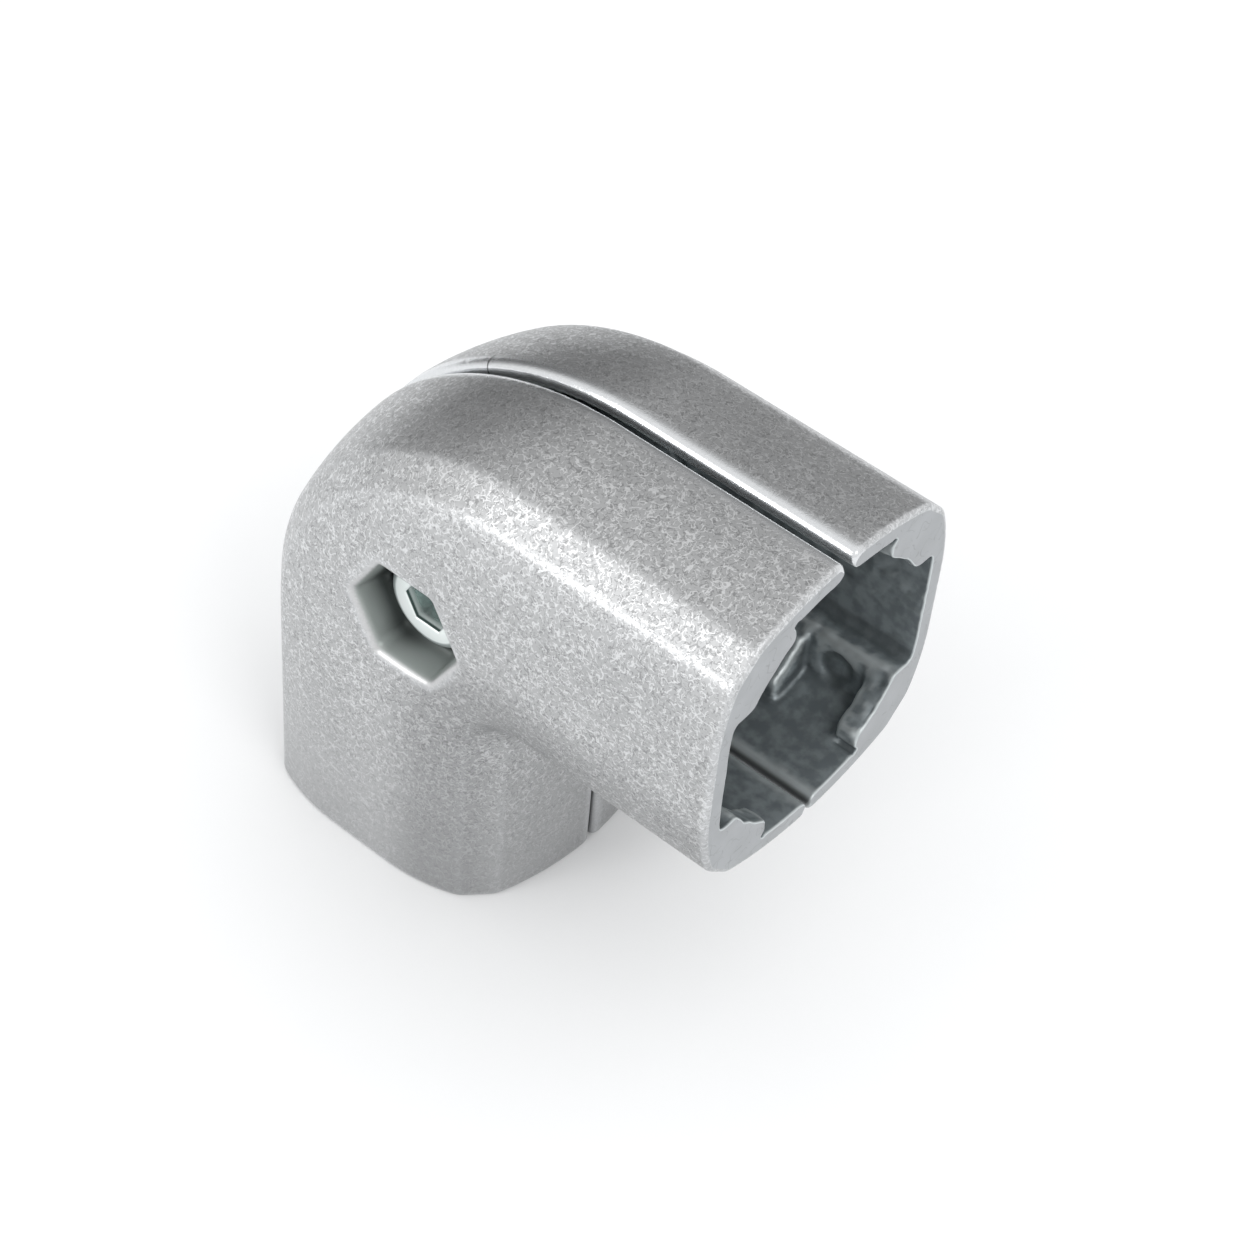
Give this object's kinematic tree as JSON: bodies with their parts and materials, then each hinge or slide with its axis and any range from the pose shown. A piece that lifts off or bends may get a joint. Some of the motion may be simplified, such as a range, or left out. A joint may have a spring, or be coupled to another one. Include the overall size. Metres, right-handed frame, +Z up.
{
  "type": "corner connector",
  "caption": "Right-angle corner connector for round tube: split cast elbow halves drawn together by a cap screw.",
  "frame": {"origin": "centre of the lower socket's mouth, on the plane where the halves part", "axes": "+Z up along the lower tube into the elbow, +X along the upper tube out of its mouth, +Y from the half with the screw's head to the half with the nut"},
  "size_m": [0.0598, 0.034, 0.0598],
  "materials": {
    "cast_metal": "tumbled as-cast",
    "plated_steel": "zinc plated"
  },
  "bodies": {
    "near_half": {"near_shell": "cast_metal"},
    "far_half": {"far_shell": "cast_metal", "hex_nut": "plated_steel"},
    "screw": {"clamp_screw": "plated_steel"}
  },
  "joints": [
    {"name": "screw_turn", "type": "hinge", "parent": "near_half", "child": "screw", "pos_m": [0.00554, 0, 0.03686], "axis": [0, 1, 0], "range_deg": [-720.01, 108.01]},
    {"name": "clamp_slide", "type": "slide", "parent": "near_half", "child": "far_half", "axis": [0, 1, 0], "range_m": [-0.0003, 0.002]}
  ],
  "couplings": [
    {"joint": "screw_turn", "follows": "clamp_slide", "rad_per_m": -6283.2}
  ]
}
